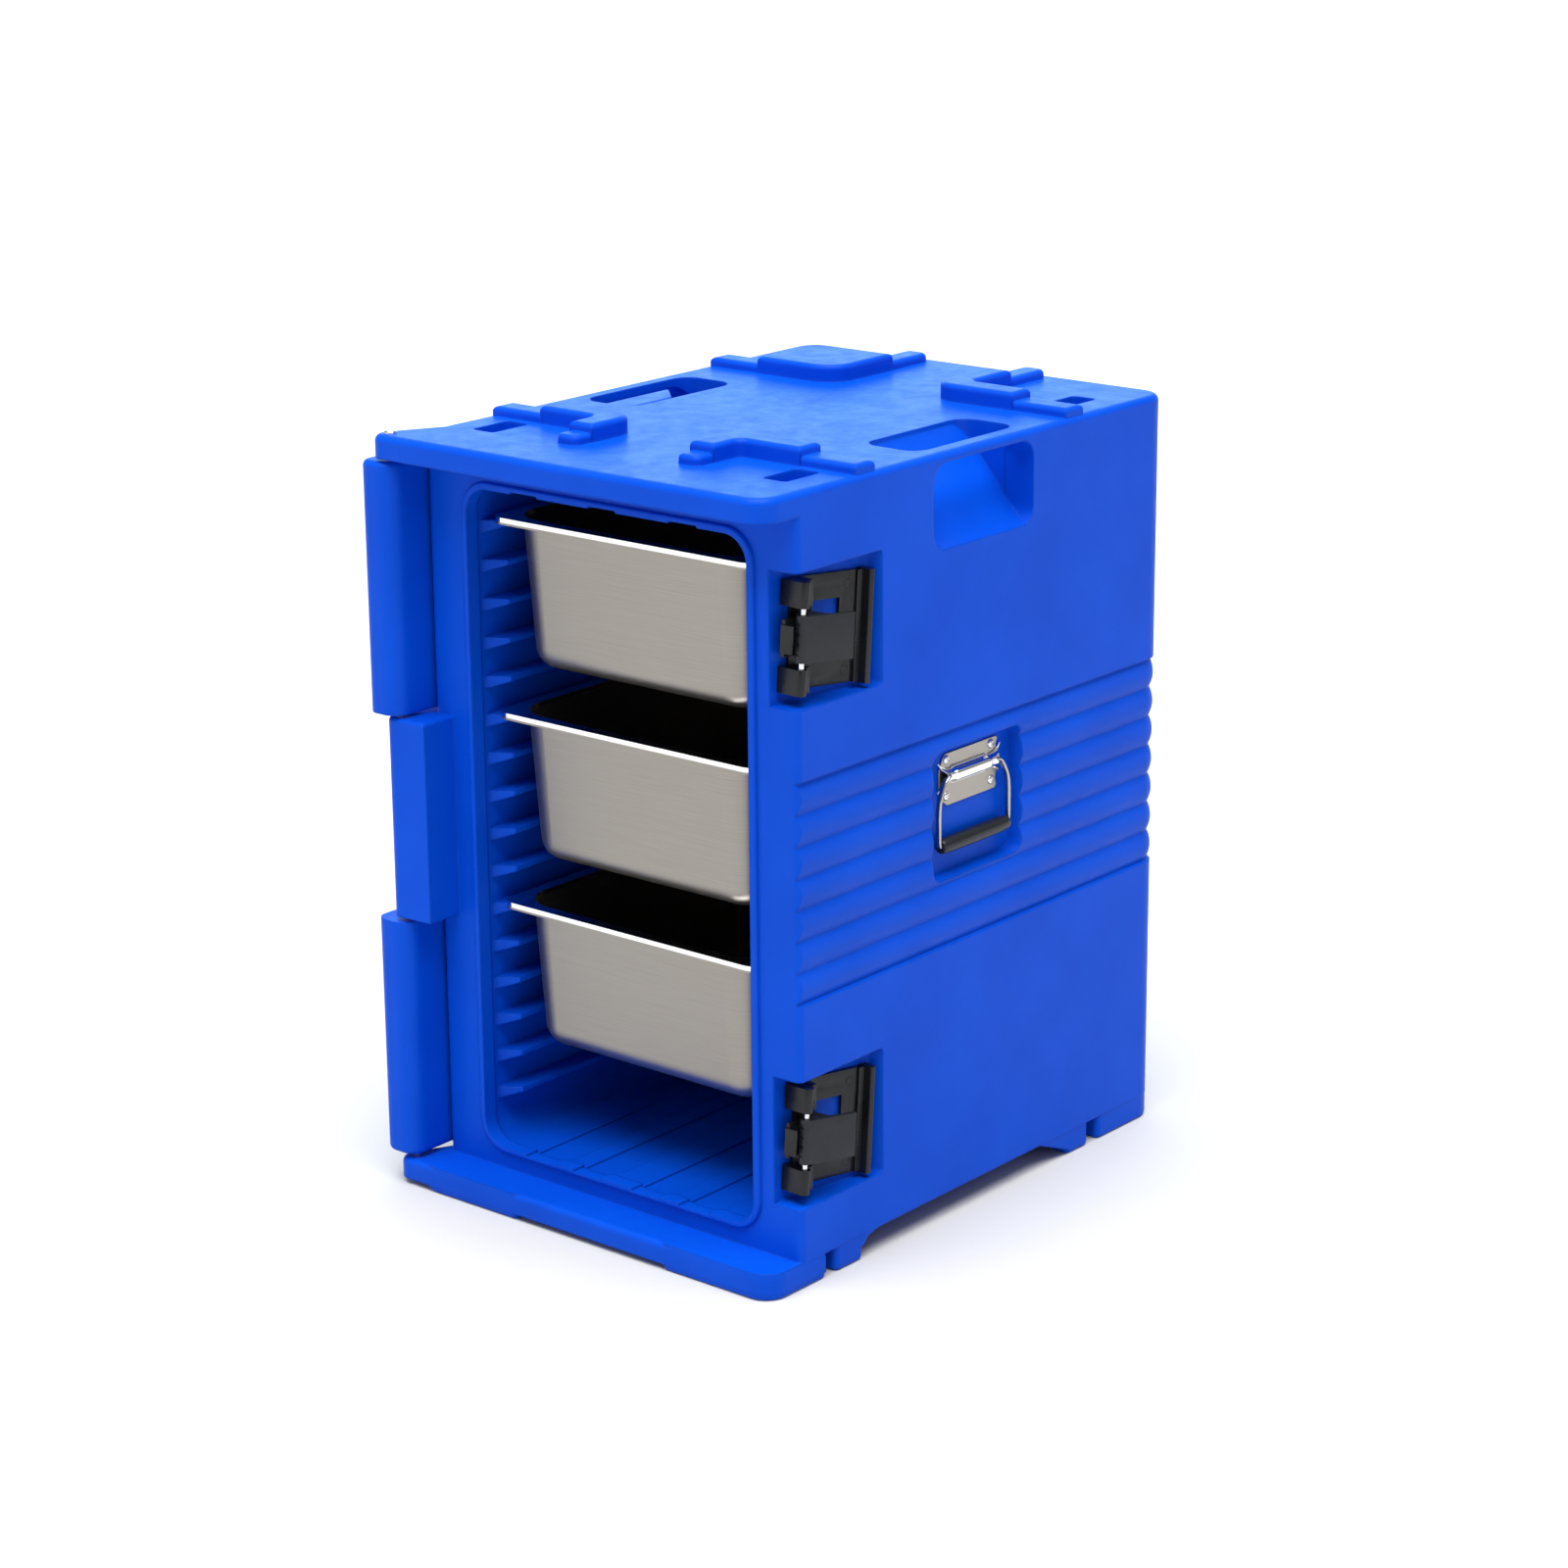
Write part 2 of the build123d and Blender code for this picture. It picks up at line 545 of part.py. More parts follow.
# Keeper on the door's inside face: a plate with an arm near the door's edge, whose lip turns
# inward behind the latch's hook
KEEPER_X0, KEEPER_X1 = 197.0, 225.5
KEEPER_SEAT = DOOR_IN - 2.6
KEEPER_TOP = DOOR_IN + 0.4
KEEPER_SCREW_X, KEEPER_SCREW_Z = 206.0, 12.0
LIP_FRONT, LIP_BACK = 7.0, 8.8           # the lip, behind the front face
LIP_X = 216.0                            # its inner edge
HOOK_GAP = 1.6                           # the hook's nose to the lip


def keeper(z):
    plate = block(KEEPER_X0, KEEPER_X1, KEEPER_SEAT, KEEPER_TOP, z - 20, z + 20)
    plate += block(KEEPER_X1 - 3, KEEPER_X1, KEEPER_TOP - 0.9, LIP_BACK, z - 15, z + 15)
    plate += block(LIP_X, KEEPER_X1, LIP_FRONT, LIP_BACK, z - 15, z + 15)
    for dz in (-KEEPER_SCREW_Z, KEEPER_SCREW_Z):
        plate -= rod_y(KEEPER_SCREW_X, -6, 2, z + dz, 1.9)
    return one(plate)


def keeper_screw(z):
    shank = rod_y(KEEPER_SCREW_X, -12, KEEPER_TOP, z, 1.85)
    head = rod_y(KEEPER_SCREW_X, KEEPER_TOP, KEEPER_TOP + 1, z, 3.6)
    return one(shank + head)


# -------------------------------------------------------------------- latches
FLOOR_TILT = degrees(atan2(FLOOR_B[0] - FLOOR_A[0], FLOOR_B[1] - FLOOR_A[1]))
ALONG = (sin(radians(FLOOR_TILT)), cos(radians(FLOOR_TILT)))    # along the notch floor
OUTWARD = (ALONG[1], -ALONG[0])                                 # off the notch floor
LATCH_SCREWS = [(s, dz) for s in (22.5, 71.0) for dz in (40.0, -40.0)]


def on_floor(s, h):
    """Plan point a distance s along the notch floor and h off it."""
    return FLOOR_A[0] + s * ALONG[0] + h * OUTWARD[0], FLOOR_A[1] + s * ALONG[1] + h * OUTWARD[1]


def on_lever(s, h):
    """Plan point a distance s along the lever from its pivot and h off its middle."""
    a = radians(LEVER_ANGLE)
    return PIVOT_X + s * sin(a) + h * cos(a), PIVOT_Y + s * cos(a) - h * sin(a)


def floor_prism(outline, z0, z1):
    return prism([on_floor(s, h) for s, h in outline], z0, z1)


def screw_place(s, z):
    x, y = on_floor(s, 0)
    return Pos(x, y, z) * Rot(0, 0, -FLOOR_TILT) * Rot(0, 90, 0)


def latch_base(z):
    """Side plate with a window, two cheeks that carry the pivot, and an end bar."""
    half, gap = LATCH_H / 2, 28.0
    base = floor_prism([(5, 0), (94, 0), (94, BASE_T), (5, BASE_T)], z - half, z + half)
    base -= floor_prism([(30, -3), (62, -3), (62, 8), (30, 8)], z + 5, z + 28)
    base += floor_prism([(80, 0), (86, 0), (86, 7), (80, 7)], z - half, z + half)
    end_bar = floor_prism([(84, 0), (95, 0), (95, 13), (93, 15), (88, 15)], z - half - 1, z + half + 1)
    base += rounded(end_bar, 1.5, end_bar.edges().filter_by(Axis.Z).sort_by(Axis.X)[-2:])
    for z0, z1 in ((z + gap, z + half), (z - half, z - gap)):
        base += prism([(197.2, 12), (PIVOT_X, PIVOT_Y - 5.6), (PIVOT_X, PIVOT_Y + 5.6), (202, 23.5), (197.2, 19)],
                      z0, z1)
        base += rod(PIVOT_X, PIVOT_Y, z0, z1, 5.6)
        base += floor_prism([(9, 2), (17, 2), (17, 20), (12, 21), (9, 19)], z0, z1)
        base += prism([(199, 17), (203, 14), on_floor(14, 4), on_floor(12, 0), on_floor(5, 0)], z0, z1)
    base = one(base) - rod(PIVOT_X, PIVOT_Y, z - half + 3, z + half + 1, PIVOT_PIN_R)
    for s, dz in LATCH_SCREWS:
        base -= screw_place(s, z + dz) * Cylinder(SCREW_R + 0.1, 20)
        base -= screw_place(s, z + dz) * Pos(0, 0, 12) * Cylinder(SCREW_HEAD_R + 0.2, 2 * (12 - SEAT))
    return one(base)


def latch_screw(s, z):
    shank = Pos(0, 0, (SEAT - 7) / 2) * Cylinder(SCREW_R, SEAT + 7)
    head = Pos(0, 0, (SEAT + BASE_T) / 2) * Cylinder(SCREW_HEAD_R, BASE_T - SEAT)
    return screw_place(s, z) * one(shank + head)


def latch_lever(z):
    """A plate with a ridged barrel round the pivot and two lugs for the link."""
    half = LEVER_H / 2
    lever = prism([on_lever(-2, 1.5), on_lever(LEVER_L - 2, 1.5), on_lever(LEVER_L, 3), on_lever(LEVER_L, 6.2),
                   on_lever(0, 6.2), on_lever(-4, 5.2)], z - half, z + half)
    lever += rod(PIVOT_X, PIVOT_Y, z - half, z + half, 6.2)
    for z0, z1 in ((z + 17.6, z + half), (z - half, z - 17.6)):
        lever += prism([on_lever(0, 2), on_lever(26, 2), (LINK_X + 3.5, LINK_Y + 3.5),
                        (LINK_X - 3.5, LINK_Y - 3.5), (PIVOT_X - 4, PIVOT_Y)], z0, z1)
        lever += rod(LINK_X, LINK_Y, z0, z1, 4.8)
    lever = one(lever)
    for groove in (-13.5, -4.5, 4.5, 13.5):
        lever -= prism([on_lever(-8, -2), on_lever(-5.2, -2), on_lever(-5.2, 5), on_lever(-8, 5)],
                       z + groove - 1.2, z + groove + 1.2)
    lever = one(lever) - rod(PIVOT_X, PIVOT_Y, z - 40, z + 40, PIVOT_PIN_R + RUN)
    return one(lever - rod(LINK_X, LINK_Y, z - 19.5, z + 40, LINK_PIN_R))


def latch_link(z):
    """The hook pinned to the lever: it passes inside the barrel and its nose holds the keeper's lip."""
    half, nose_half = 17.0, 13.0
    nose_back, shank = LIP_FRONT - HOOK_GAP, 205.0
    link = rod(LINK_X, LINK_Y, z - half, z + half, 4.6)
    link += prism([(LINK_X - 3.2, LINK_Y - 2), (LINK_X + 1.8, LINK_Y - 3), (shank + 4, 12), (shank + 4, nose_back),
                   (shank, nose_back), (shank, 12)], z - half, z + half)
    link += prism([(shank, nose_back + 1), (shank + 4, nose_back + 1), (shank + 4, nose_back), (219, nose_back),
                   (219, nose_back - 2.4), (shank + 1.6, nose_back - 3), (shank, nose_back - 1.4)],
                  z - nose_half, z + nose_half)
    return one(one(link) - rod(LINK_X, LINK_Y, z - 30, z + 30, LINK_PIN_R + RUN))


def latch(z):
    """Every piece of one latch, turned a little on the floor of its notch."""
    half = LATCH_H / 2
    pieces = {"base": (latch_base(z), BLACK),
              "lever": (latch_lever(z), BLACK),
              "link": (latch_link(z), BLACK),
              "pivot_pin": (rod(PIVOT_X, PIVOT_Y, z - half + 3, z + half - 0.6, PIVOT_PIN_R), STEEL),
              "link_pin": (rod(LINK_X, LINK_Y, z - 19.5, z + LEVER_H / 2, LINK_PIN_R), STEEL)}
    for i, (s, dz) in enumerate(LATCH_SCREWS):
        pieces[f"screw_{i + 1}"] = (latch_screw(s, z + dz), BLACK)
    axis = Axis((PIVOT_X, PIVOT_Y, z), (*OUTWARD, 0))
    return {name: (shape.rotate(axis, -LATCH_LEAN), color) for name, (shape, color) in pieces.items()}


# -------------------------------------------------------------------- handles
RIVETS = [(HANDLE_Y + dy, HANDLE_Z + dz) for dy in (-35, 35) for dz in (14, -22)]


def handle_plate():
    """A pressed plate on the pocket floor with a channel for the bail's spindle."""
    z0, z1 = HANDLE_Z - 32, HANDLE_Z + 20
    floor = Plane(origin=(POCKET_X, HANDLE_Y, (z0 + z1) / 2), x_dir=(0, 1, 0), z_dir=(1, 0, 0))
    plate = extrude(floor * RectangleRounded(92, z1 - z0, 6), 2.0)
    half, r = 47.0, BAIL_R + 2.9
    plate += rod_y(HANDLE_X, HANDLE_Y - half, HANDLE_Y + half, HANDLE_Z, r)
    plate += block(POCKET_X, HANDLE_X, HANDLE_Y - half, HANDLE_Y + half, HANDLE_Z - r, HANDLE_Z + r)
    plate = one(plate) - rod_y(HANDLE_X, HANDLE_Y - 60, HANDLE_Y + 60, HANDLE_Z, BAIL_R + RUN)
    for y, z in RIVETS:
        plate -= rod_x(POCKET_X - 5, POCKET_X + 5, y, z, 2.4)
    return one(plate)


def rivet(y, z):
    shank = rod_x(POCKET_X - 3, POCKET_X + 2, y, z, 2.35)
    head = rod_x(POCKET_X + 2, POCKET_X + 4, y, z, 4.6)
    head = rounded(head, 1.8, head.faces().sort_by(Axis.X)[-1].edges())
    return one(shank + head)


def bail():
    """A spindle, two flat arms and the bar inside the grip."""
    wire = rod_y(HANDLE_X, HANDLE_Y - ARM_Y, HANDLE_Y + ARM_Y, HANDLE_Z, BAIL_R)
    for y0 in (HANDLE_Y - ARM_Y, HANDLE_Y + ARM_Y - ARM_T):
        arm = block(HANDLE_X - 4.5, HANDLE_X + 4.5, y0, y0 + ARM_T, HANDLE_Z - BAIL_DROP - 4.5, HANDLE_Z + 4.5)
        wire += rounded(arm, 4.2, arm.edges().filter_by(Axis.Y))
    span = ARM_Y - ARM_T + 1
    return one(wire + rod_y(HANDLE_X, HANDLE_Y - span, HANDLE_Y + span, HANDLE_Z - BAIL_DROP, BAIL_R))


def grip():
    span, z = ARM_Y - ARM_T - 0.4, HANDLE_Z - BAIL_DROP
    tube = rod_y(HANDLE_X, HANDLE_Y - span, HANDLE_Y + span, z, GRIP_R)
    tube = one(tube - rod_y(HANDLE_X, HANDLE_Y - 60, HANDLE_Y + 60, z, BAIL_R))
    return rounded(tube, 1.5, [e for e in tube.edges().filter_by(GeomType.CIRCLE) if e.radius > BAIL_R + 1])


# ----------------------------------------------------------------------- pans
def pan():
    """A steel food pan, its rim's underside on Z = 0 and its front on Y = 0."""
    place = Pos(0, PAN_L / 2, 0)
    outline = RectangleRounded(PAN_W, PAN_L, PAN_RIM_R)
    wall = 2 * PAN_STEEL
    hem = outline - RectangleRounded(PAN_W - wall, PAN_L - wall, PAN_RIM_R - PAN_STEEL)
    rim = place * extrude(outline, PAN_STEEL)
    rim += place * Pos(0, 0, -PAN_HEM) * extrude(hem, PAN_HEM + 0.6)
    outside = one(place * Pos(0, 0, 0.6) * extrude(RectangleRounded(PAN_W - 23, PAN_L - 23, 40), -(PAN_H - 1), taper=4))
    outside = rounded(outside, 22, bottom_edges(outside))
    inside = one(place * Pos(0, 0, 3) * extrude(RectangleRounded(PAN_W - 25, PAN_L - 25, 39), -(PAN_H + 0.2), taper=4))
    inside = rounded(inside, 21, bottom_edges(inside))
    return one(one(rim + outside) - inside)


# ------------------------------------------------------------------- assembly
nodes = {}


def keep(name, shape, color):
    """Name a piece and give it a colour."""
    solid = shape if isinstance(shape, Solid) else one(shape)
    solid.label = name
    solid.color = Color(*color)
    nodes[name] = solid


foam_core = body_foam()
shell = body_shell(hollow_with_rails(), foam_core)
latches = {name: latch(z) for name, z in zip(LATCH_NAMES, LATCH_Z)}
for pieces in latches.values():
    for name, (shape, _) in pieces.items():
        if name.startswith("screw"):
            shell = one(shell - shape)
rivets = [rivet(y, z) for y, z in RIVETS]
for flip in (as_is, mirrored):
    for piece in rivets:
        shell = one(shell - flip(piece))

keep("body_shell", shell, BLUE)
keep("body_foam_core", foam_core, FOAM)
for side, (x, z) in zip(("left", "right"), PORTS):
    keep(f"foam_port_plug_{side}", port_plug(x, z), BLUE)
keep("hinge_pin", hinge_pin(), STEEL)

for which, pieces in latches.items():
    for name, (shape, color) in pieces.items():
        keep(f"latch_{which}_{name}", shape, color)

for side, flip in (("right", as_is), ("left", mirrored)):
    keep(f"handle_{side}_plate", flip(handle_plate()), STEEL)
    keep(f"handle_{side}_bail", flip(bail()), STEEL)
    keep(f"handle_{side}_grip", flip(grip()), BLACK)
    for i, piece in enumerate(rivets):
        keep(f"handle_{side}_rivet_{i + 1}", flip(piece), STEEL)

# the door and what is on it hang open, turned about the hinge pin
swing = Pos(HINGE_X, HINGE_Y, 0) * Rot(0, 0, OPEN_ANGLE) * Pos(-HINGE_X, -HINGE_Y, 0)
core = door_foam()
keep("door_shell", swing * door_shell(core), BLUE)
keep("door_foam_core", swing * core, FOAM)
keep("door_gasket", swing * door_gasket(), RUBBER)
keep("door_port_cap", swing * one(door_port_cap()), BLUE)
for which, z in zip(LATCH_NAMES, LATCH_Z):
    keep(f"door_keeper_{which}", swing * keeper(z), BLACK)
    for end, dz in (("top", KEEPER_SCREW_Z), ("bottom", -KEEPER_SCREW_Z)):
        keep(f"door_keeper_{which}_screw_{end}", swing * keeper_screw(z + dz), STEEL)

steel_pan = pan()
for i, rail in enumerate(PAN_RAILS):
    rest = RAIL_TOP - rail * RAIL_PITCH + PAN_HEM + 0.05
    keep(f"pan_{i + 1}", Pos(0, PAN_FRONT, rest) * steel_pan, STEEL)

os.makedirs("parts", exist_ok=True)
for name, solid in nodes.items():
    export_step(solid, f"parts/{name}.step")
    print(f"{name:34s} {solid.volume / 1000:10.2f} cm3  valid {solid.is_valid}")
print(len(nodes), "nodes")
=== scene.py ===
"""Looks of the insulated food carrier: materials, softened small parts, floor, light and camera."""
import json
import math

import bmesh
import bpy
from mathutils import Matrix, Vector


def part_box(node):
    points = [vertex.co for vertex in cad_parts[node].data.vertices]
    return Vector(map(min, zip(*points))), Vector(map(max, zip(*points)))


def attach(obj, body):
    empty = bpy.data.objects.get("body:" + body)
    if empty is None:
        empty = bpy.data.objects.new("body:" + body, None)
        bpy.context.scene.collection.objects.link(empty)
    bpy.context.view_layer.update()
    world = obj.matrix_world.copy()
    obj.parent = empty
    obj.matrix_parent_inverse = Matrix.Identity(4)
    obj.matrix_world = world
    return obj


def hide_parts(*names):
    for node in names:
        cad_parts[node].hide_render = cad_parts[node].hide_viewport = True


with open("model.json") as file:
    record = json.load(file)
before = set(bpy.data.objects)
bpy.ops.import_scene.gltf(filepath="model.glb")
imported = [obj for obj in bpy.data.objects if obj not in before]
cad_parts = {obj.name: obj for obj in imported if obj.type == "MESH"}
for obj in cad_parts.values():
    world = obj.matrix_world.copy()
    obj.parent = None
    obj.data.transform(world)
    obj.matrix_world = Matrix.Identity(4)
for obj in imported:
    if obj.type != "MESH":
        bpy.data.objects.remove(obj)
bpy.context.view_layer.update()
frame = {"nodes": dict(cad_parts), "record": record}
scene = bpy.context.scene
NODES = frame["nodes"]
MM = 0.001
RIM_DEPTH = 5 * MM       # rolled rim of a pan, from its top
MIX_FACTOR, COLOR_A, COLOR_B, COLOR_RESULT = 0, 6, 7, 2      # a colour Mix node's sockets


def fill_ramp(ramp, stops):
    """Give a colour ramp its (position, colour) stops."""
    elements = ramp.color_ramp.elements
    while len(elements) < len(stops):
        elements.new(0.5)
    for element, (position, color) in zip(elements, stops):
        element.position = position
        element.color = (*color, 1)


# ------------------------------------------------------------------ materials
class Graph:
    """A material's node tree, with short calls for the nodes that it uses."""

    def __init__(self, name, base, roughness, metallic=0.0, **sockets):
        self.material = bpy.data.materials.new(name)
        self.material.use_nodes = True
        self.tree = self.material.node_tree
        self.shader = self.tree.nodes["Principled BSDF"]
        self.shader.inputs["Base Color"].default_value = (*base, 1)
        self.shader.inputs["Roughness"].default_value = roughness
        self.shader.inputs["Metallic"].default_value = metallic
        for key, value in sockets.items():
            self.shader.inputs[key.replace("_", " ")].default_value = value

    def add(self, kind, **values):
        """A new node; each value sets a property, or else an input socket."""
        node = self.tree.nodes.new(kind)
        for key, value in values.items():
            if hasattr(node, key):
                setattr(node, key, value)
            else:
                node.inputs[key.replace("_", " ")].default_value = value
        return node

    def link(self, source, target):
        self.tree.links.new(source, target)

    def place(self, scale=(1, 1, 1)):
        """Object coordinates, stretched for grain that runs one way."""
        coords = self.add("ShaderNodeTexCoord")
        mapping = self.add("ShaderNodeMapping")
        mapping.inputs["Scale"].default_value = scale
        self.link(coords.outputs["Object"], mapping.inputs["Vector"])
        return mapping.outputs["Vector"]

    def noise(self, where, scale, detail=4.0, roughness=0.55):
        node = self.add("ShaderNodeTexNoise", Scale=scale, Detail=detail, Roughness=roughness)
        self.link(where, node.inputs["Vector"])
        return node.outputs["Fac"]

    def spread(self, value, low, high, start=0.3, end=0.7):
        """Map a value onto a range of roughness or another number."""
        node = self.add("ShaderNodeMapRange")
        ends = (("From Min", start), ("From Max", end), ("To Min", low), ("To Max", high))
        for key, number in ends:
            node.inputs[key].default_value = number
        self.link(value, node.inputs["Value"])
        return node.outputs["Result"]

    def tint(self, value, *stops):
        """A colour ramp of (position, colour) stops."""
        ramp = self.add("ShaderNodeValToRGB")
        fill_ramp(ramp, stops)
        self.link(value, ramp.inputs["Fac"])
        return ramp.outputs["Color"]

    def bump(self, height, strength, distance, normal=None):
        node = self.add("ShaderNodeBump", Strength=strength, Distance=distance)
        self.link(height, node.inputs["Height"])
        if normal is not None:
            self.link(normal, node.inputs["Normal"])
        return node.outputs["Normal"]

    def into(self, socket, output):
        self.link(output, self.shader.inputs[socket])


def moulded_blue():
    """Rotomoulded polyethylene: satin, faintly mottled, with soft edges and a fine pebble."""
    g = Graph("moulded_blue", (0.001, 0.064, 0.56), 0.36, Specular_IOR_Level=0.07)
    where = g.place()
    cloud = g.noise(where, 9.0, detail=3.0)
    mottled = g.tint(cloud, (0.32, (0.0006, 0.058, 0.52)), (0.68, (0.0010, 0.068, 0.58)))
    g.into("Base Color", mottled)
    speck = g.noise(where, 420.0, detail=3.0)
    g.into("Roughness", g.spread(g.noise(where, 60.0, detail=5.0), 0.30, 0.42))
    soft_edge = g.add("ShaderNodeBevel", samples=4, Radius=0.0032)
    pebble = g.bump(speck, 0.10, 0.0004, soft_edge.outputs["Normal"])
    waves = g.bump(g.noise(where, 10.0, detail=2.0), 0.06, 0.004, pebble)
    g.into("Normal", waves)
    return g.material


def brushed_pan(name):
    """Drawn stainless steel, brushed level round the sides, with a polished rim whose near-white colour is
    a painted highlight.
    """
    g = Graph(f"brushed_{name}", (0.34, 0.315, 0.285), 0.36, 1.0)
    where = g.place((6, 6, 900))
    grain = g.noise(where, 3.0, detail=6.0, roughness=0.7)
    sides = g.tint(grain, (0.3, (0.29, 0.27, 0.24)), (0.7, (0.35, 0.325, 0.295)))
    split = g.add("ShaderNodeSeparateXYZ")
    g.link(g.place(), split.inputs["Vector"])
    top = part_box(name)[1].z
    # Mask of the rim band: it carries the painted highlight colour and the real smoother polish.
    rim = g.spread(split.outputs["Z"], 0.0, 1.0, top - RIM_DEPTH, top - 0.8 * RIM_DEPTH)
    rim_highlight_mix = g.add("ShaderNodeMix", data_type="RGBA")
    g.link(rim, rim_highlight_mix.inputs[MIX_FACTOR])
    g.link(sides, rim_highlight_mix.inputs[COLOR_A])
    # Painted highlight: the rim band is coloured near white, far lighter than the sides; only its lower
    # roughness is real polish.
    rim_highlight_mix.inputs[COLOR_B].default_value = (0.93, 0.93, 0.94, 1)
    g.into("Base Color", rim_highlight_mix.outputs[COLOR_RESULT])
    g.into("Roughness", g.spread(rim, 0.38, 0.10, 0.0, 1.0))
    g.into("Normal", g.bump(grain, 0.08, 0.0003))
    return g.material


def bright_steel(name="bright_steel", base=(0.74, 0.74, 0.75), low=0.07, high=0.15):
    """Polished stainless steel with faint wipe marks."""
    g = Graph(name, base, low, 1.0)
    where = g.place((40, 40, 400))
    wipe = g.noise(where, 2.0, detail=5.0)
    g.into("Roughness", g.spread(wipe, low, high))
    g.into("Normal", g.bump(g.noise(g.place(), 900.0, detail=2.0), 0.02, 0.0002))
    return g.material


def nylon(name, base, low, high, speck):
    """Moulded nylon, vinyl or rubber with a fine grain."""
    g = Graph(name, base, low, Specular_IOR_Level=0.34)
    where = g.place()
    lighter = tuple(c * 1.35 + 0.001 for c in base)
    g.into("Base Color", g.tint(g.noise(where, 55.0), (0.35, base), (0.7, lighter)))
    g.into("Roughness", g.spread(g.noise(where, 130.0, detail=5.0), low, high))
    g.into("Normal", g.bump(g.noise(where, 1500.0, detail=2.0), speck, 0.0003))
    return g.material


def foam():
    """Cut foam, sealed inside the walls."""
    g = Graph("foam", (0.80, 0.70, 0.42), 0.9)
    cells = g.add("ShaderNodeTexVoronoi", Scale=700.0)
    g.link(g.place(), cells.inputs["Vector"])
    distance = cells.outputs["Distance"]
    g.into("Base Color", g.tint(distance, (0.1, (0.62, 0.50, 0.27)), (0.6, (0.84, 0.75, 0.48))))
    g.into("Normal", g.bump(distance, 0.5, 0.001))
    return g.material


def pale_floor():
    """A matt studio floor, almost even in tone."""
    g = Graph("pale_floor", (0.56, 0.56, 0.56), 0.7, Specular_IOR_Level=0.1)
    tone = g.noise(g.place(), 1.5)
    g.into("Base Color", g.tint(tone, (0.3, (0.55, 0.55, 0.55)), (0.7, (0.57, 0.57, 0.57))))
    return g.material


BLUE = moulded_blue()
PANS = {name: brushed_pan(name) for name in NODES if name.startswith("pan_")}
STEEL = bright_steel()
SATIN = bright_steel("satin_steel", (0.38, 0.355, 0.32), 0.30, 0.42)
ARM_STEEL = bright_steel("arm_steel", (0.46, 0.44, 0.41), 0.16, 0.24)
MIRROR = bright_steel("mirror_steel", (0.86, 0.86, 0.88), 0.03, 0.08)
BLACK = nylon("black_nylon", (0.004, 0.0045, 0.006), 0.26, 0.38, 0.10)
SLATE = nylon("slate_nylon", (0.008, 0.010, 0.014), 0.34, 0.46, 0.14)
VINYL = nylon("black_vinyl", (0.008, 0.009, 0.012), 0.28, 0.38, 0.06)
RUBBER = nylon("seal_rubber", (0.022, 0.022, 0.024), 0.5, 0.65, 0.10)
FOAM = foam()


def material_for(name):
    if "foam_core" in name:
        return FOAM
    if name.startswith("pan_"):
        return PANS[name]
    if name == "door_gasket":
        return RUBBER
    if name.endswith("grip"):
        return VINYL
    if name.endswith("lever"):
        return SLATE
    if name.startswith(("body", "foam_port", "door_shell", "door_port")):
        return BLUE
    if name.endswith("plate"):
        return SATIN
    keeper_screw = "keeper" in name and "screw" in name
    if name.startswith("handle") or name.endswith("pin") or keeper_screw:
        return STEEL
    return BLACK


def dress(piece, material):
    piece.data.materials.clear()
    piece.data.materials.append(material)


for node_name, node in NODES.items():
    for slot in node.material_slots:
        slot.material = material_for(node_name)
    if not node.material_slots:
        node.data.materials.append(material_for(node_name))


# ------------------------------------------------------- tools for new pieces
def body_of(name):
    bodies = frame["record"]["behaviour"]["bodies"]
    return next(body for body, nodes in bodies.items() if name in nodes)


def stand_for(piece, name, material):
    """A piece takes a CAD node's place, body and finish."""
    dress(piece, material)
    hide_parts(name)
    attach(piece, body_of(name))


def apply(piece, kind, **values):
    """Add a modifier and make it part of the mesh."""
    modifier = piece.modifiers.new("shape", kind)
    for key, value in values.items():
        setattr(modifier, key, value)
    bpy.context.view_layer.objects.active = piece
    piece.select_set(True)
    bpy.ops.object.modifier_apply(modifier=modifier.name)
    piece.select_set(False)


def joined(name, pieces):
    """Several objects made into one."""
    bpy.ops.object.select_all(action="DESELECT")
    for piece in pieces:
        piece.select_set(True)
    bpy.context.view_layer.objects.active = pieces[0]
    bpy.ops.object.join()
    pieces[0].name = name
    pieces[0].select_set(False)
    return pieces[0]


def mesh_piece(name, points, faces, smooth_angle):
    """An object from points in metres, its faces turned outwards."""
    mesh = bpy.data.meshes.new(name)
    mesh.from_pydata([tuple(p) for p in points], [], faces)
    work = bmesh.new()
    work.from_mesh(mesh)
    bmesh.ops.recalc_face_normals(work, faces=work.faces)
    work.to_mesh(mesh)
    work.free()
    mesh.shade_smooth()
    mesh.set_sharp_from_angle(angle=math.radians(smooth_angle))
    piece = bpy.data.objects.new(name, mesh)
    scene.collection.objects.link(piece)
    return piece


def loft(name, rings, smooth_angle):
    """A closed surface through rings of points, capped at both ends."""
    count = len(rings[0])
    faces = []
    for start in range(0, (len(rings) - 1) * count, count):
        for i in range(count):
            after = (i + 1) % count
            faces.append((start + i, start + after, start + count + after, start + count + i))
    last = (len(rings) - 1) * count
    faces += [tuple(reversed(range(count))), tuple(last + i for i in range(count))]
    return mesh_piece(name, [p for ring in rings for p in ring], faces, smooth_angle)


def between(table, at):
    """Read a table of (place, value) rows, eased between its rows."""
    for (a, low), (b, high) in zip(table, table[1:]):
        if at <= b:
            t = max(0.0, (at - a) / (b - a))
            return low + (high - low) * t * t * (3 - 2 * t)
    return table[-1][1]


# ------------------------------------------------- latch parts with soft edges
MERGE_DISTANCE = 0.01 * MM
FLAT_ANGLE = math.radians(0.5)       # flatter edges than this are dissolved
SHARP_ANGLE = math.radians(32)       # sharper edges than this are rounded
LATCH_EDGES = (("base", 0.9 * MM), ("lever", 0.7 * MM), ("link", 0.5 * MM))


